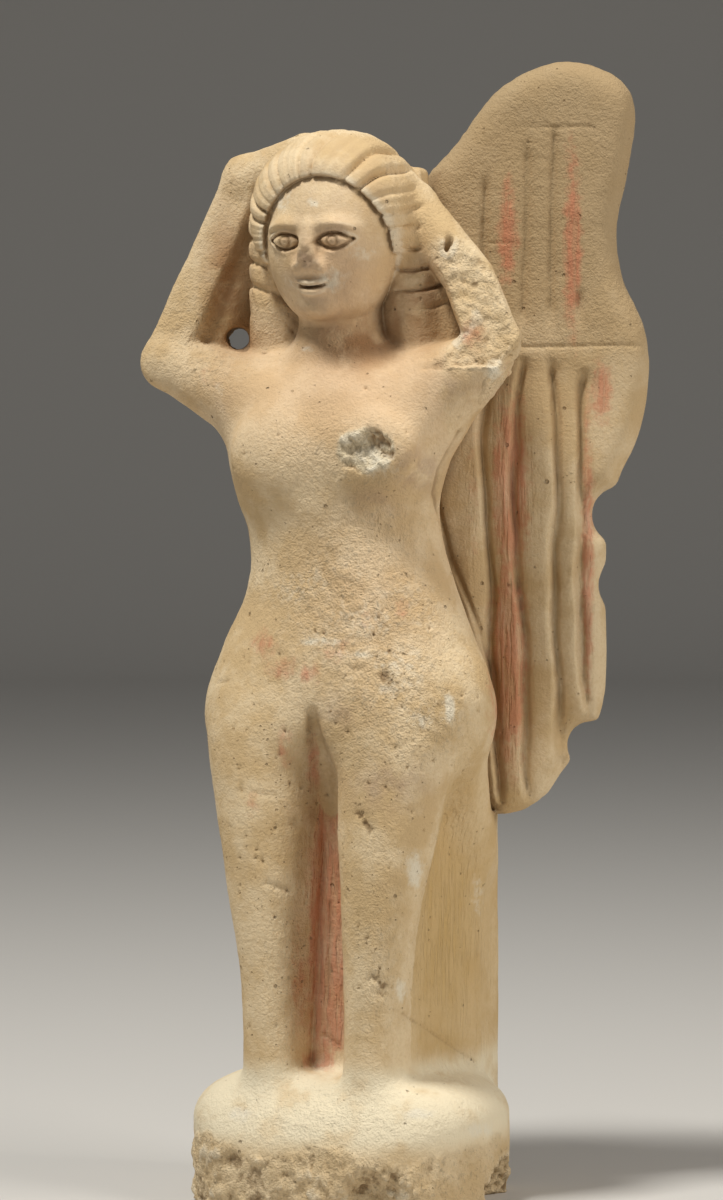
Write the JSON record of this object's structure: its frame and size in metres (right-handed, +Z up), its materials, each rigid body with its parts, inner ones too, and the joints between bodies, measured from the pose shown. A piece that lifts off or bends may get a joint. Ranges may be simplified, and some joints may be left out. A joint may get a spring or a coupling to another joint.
{
  "type": "carved limestone winged female figure",
  "caption": "Standing nude siren with raised arms, one wing and a round base, carved in soft limestone.",
  "frame": {"origin": "middle of the underside of the round base, on the ground it stands on", "axes": "+Z up, -Y is the way the figure faces, +X is towards her left arm and the surviving wing"},
  "size_m": [0.2405, 0.1428, 0.5597],
  "materials": {
    "stone": "dry carved soft limestone with traces of red paint"
  },
  "bodies": {
    "root": {"siren": "stone"}
  },
  "joints": []
}
